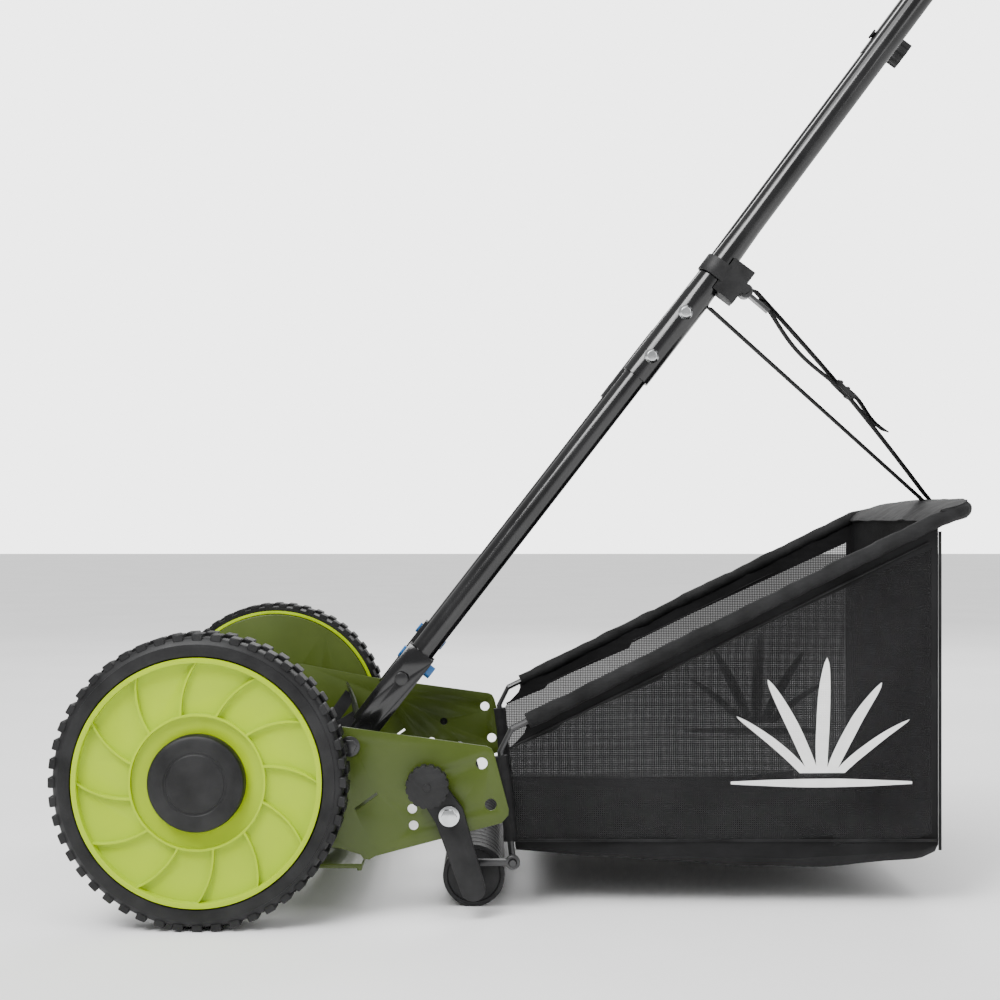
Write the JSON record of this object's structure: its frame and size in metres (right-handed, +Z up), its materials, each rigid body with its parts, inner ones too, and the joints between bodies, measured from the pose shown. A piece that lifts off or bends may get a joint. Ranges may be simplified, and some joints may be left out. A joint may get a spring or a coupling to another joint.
{
  "type": "push reel mower",
  "caption": "Two-wheeled push reel mower with a leaning tube handle, a height roller on side arms and a mesh grass catcher hung behind by a strap.",
  "frame": {"origin": "on the ground under the middle of the whole object", "axes": "+X to the rear, towards the handle and the catcher; +Y to the right hand of the person mowing; +Z up"},
  "size_m": [0.933, 0.534, 1.0427],
  "materials": {
    "tyre_rubber": "matt",
    "lime_plastic": "satin",
    "green_paint": "satin",
    "black_paint": "gloss",
    "black_plastic": "matt",
    "steel": "brushed",
    "dark_steel": "satin",
    "zinc": "bright",
    "blue_nylon": "gloss",
    "foam": "foam",
    "mesh_cloth": "open weave",
    "webbing": "woven"
  },
  "bodies": {
    "chassis": {"stub_axles": "steel", "axle_nuts": "steel", "side_plate_left": "green_paint", "side_plate_right": "green_paint", "gear_cover_left": "green_paint", "gear_cover_right": "green_paint", "reel_bearings": "steel", "cross_rod": "steel", "cross_rod_bolts": "dark_steel", "bedknife_bar": "green_paint", "bedknife": "steel", "bedknife_screws": "steel", "arm_pivot_bolts": "zinc"},
    "left_wheel": {"tyre_left": "tyre_rubber", "wheel_left": "lime_plastic", "ring_gear_left": "steel", "wheel_bush_left": "steel", "hub_cap_left": "black_plastic"},
    "right_wheel": {"tyre_right": "tyre_rubber", "wheel_right": "lime_plastic", "ring_gear_right": "steel", "wheel_bush_right": "steel", "hub_cap_right": "black_plastic"},
    "left_pinion": {"pinion_left": "steel"},
    "right_pinion": {"pinion_right": "steel"},
    "reel": {"reel_shaft": "dark_steel", "reel_spiders": "dark_steel", "reel_blades": "dark_steel"},
    "height_arms": {"arm_left": "black_plastic", "arm_right": "black_plastic", "roller_axle": "steel"},
    "ground_roller": {"roller": "black_plastic", "roller_plugs": "black_plastic"},
    "left_thumb_knob": {"thumb_knob_left": "black_plastic"},
    "right_thumb_knob": {"thumb_knob_right": "black_plastic"},
    "handle": {"handle_bracket_left": "black_paint", "handle_bracket_right": "black_paint", "bracket_bolts": "dark_steel", "bracket_nuts": "blue_nylon", "lower_tube_left": "black_paint", "lower_tube_right": "black_paint", "middle_tube_left": "black_paint", "middle_tube_right": "black_paint", "tube_bolts": "zinc", "tube_nuts": "zinc", "upper_handle": "black_paint", "foam_grip": "foam", "strap_clip": "black_plastic"},
    "left_handle_knob": {"handle_knob_left": "black_plastic"},
    "right_handle_knob": {"handle_knob_right": "black_plastic"},
    "strap_ring": {"strap_loop": "dark_steel"},
    "strap": {"catcher_strap": "webbing"},
    "catcher_hooks": {"catcher_hooks": "dark_steel"},
    "catcher": {"catcher_frame": "dark_steel", "catcher_side_left": "mesh_cloth", "catcher_side_right": "mesh_cloth", "catcher_floor": "mesh_cloth", "catcher_back": "mesh_cloth", "catcher_visor": "mesh_cloth"}
  },
  "joints": [
    {"name": "left_wheel_spin", "type": "hinge", "parent": "chassis", "child": "left_wheel", "pos_m": [-0.33949, 0, 0.127], "axis": [0, 1, 0], "continuous": true},
    {"name": "right_wheel_spin", "type": "hinge", "parent": "chassis", "child": "right_wheel", "pos_m": [-0.33949, 0, 0.127], "axis": [0, 1, 0], "continuous": true},
    {"name": "left_pinion_spin", "type": "hinge", "parent": "chassis", "child": "left_pinion", "pos_m": [-0.27933, 0, 0.112], "axis": [0, 1, 0], "continuous": true},
    {"name": "right_pinion_spin", "type": "hinge", "parent": "chassis", "child": "right_pinion", "pos_m": [-0.27933, 0, 0.112], "axis": [0, 1, 0], "continuous": true},
    {"name": "reel_spin", "type": "hinge", "parent": "chassis", "child": "reel", "pos_m": [-0.27933, 0, 0.112], "axis": [0, 1, 0], "continuous": true},
    {"name": "height_adjust", "type": "hinge", "parent": "chassis", "child": "height_arms", "pos_m": [-0.12629, 0, 0.0919], "axis": [0, 1, 0], "range_deg": [-72.8, 0]},
    {"name": "roller_spin", "type": "hinge", "parent": "height_arms", "child": "ground_roller", "pos_m": [-0.10549, 0, 0.028], "axis": [0, 1, 0], "continuous": true},
    {"name": "left_thumb_knob_turn", "type": "hinge", "parent": "height_arms", "child": "left_thumb_knob", "pos_m": [-0.14503, -0.217, 0.11906], "axis": [0, 1, 0], "continuous": true},
    {"name": "right_thumb_knob_turn", "type": "hinge", "parent": "height_arms", "child": "right_thumb_knob", "pos_m": [-0.14503, 0.217, 0.11906], "axis": [0, 1, 0], "continuous": true},
    {"name": "handle_swing", "type": "hinge", "parent": "chassis", "child": "handle", "pos_m": [-0.21379, 0, 0.1514], "axis": [0, 1, 0], "range_deg": [-30, 0]},
    {"name": "left_handle_knob_turn", "type": "hinge", "parent": "handle", "child": "left_handle_knob", "pos_m": [0.34502, -0.158, 0.88471], "axis": [0.8018, 0, -0.5976], "continuous": true},
    {"name": "right_handle_knob_turn", "type": "hinge", "parent": "handle", "child": "right_handle_knob", "pos_m": [0.34502, 0.158, 0.88471], "axis": [0.8018, 0, -0.5976], "continuous": true},
    {"name": "strap_ring_turn", "type": "hinge", "parent": "handle", "child": "strap_ring", "pos_m": [0.14178, -0.158, 0.55851], "axis": [0, 1, 0], "range_deg": [-0.5, 19.5]},
    {"name": "strap_swing", "type": "hinge", "parent": "strap_ring", "child": "strap", "pos_m": [0.14178, -0.158, 0.55851], "axis": [0, 1, 0], "range_deg": [-17, 0.5], "deforming": ["catcher_strap"]},
    {"name": "catcher_hook_turn", "type": "hinge", "parent": "height_arms", "child": "catcher_hooks", "pos_m": [-0.10549, 0, 0.028], "axis": [0, 1, 0], "range_deg": [-0.5, 73.3]},
    {"name": "catcher_tilt", "type": "hinge", "parent": "catcher_hooks", "child": "catcher", "pos_m": [-0.07049, 0, 0.045], "axis": [0, 1, 0], "range_deg": [-30.5, 0]}
  ],
  "couplings": [
    {"joint": "left_pinion_spin", "follows": "left_wheel_spin", "ratio": 4.875},
    {"joint": "reel_spin", "follows": "left_wheel_spin", "ratio": 4.875},
    {"joint": "right_pinion_spin", "follows": "right_wheel_spin", "ratio": 4.875},
    {"joint": "strap_ring_turn", "follows": "handle_swing", "ratio": -0.62},
    {"joint": "catcher_tilt", "follows": "handle_swing", "ratio": 1.005},
    {"joint": "strap_swing", "follows": "height_adjust", "ratio": 0.22},
    {"joint": "catcher_hook_turn", "follows": "height_adjust", "ratio": -1}
  ]
}
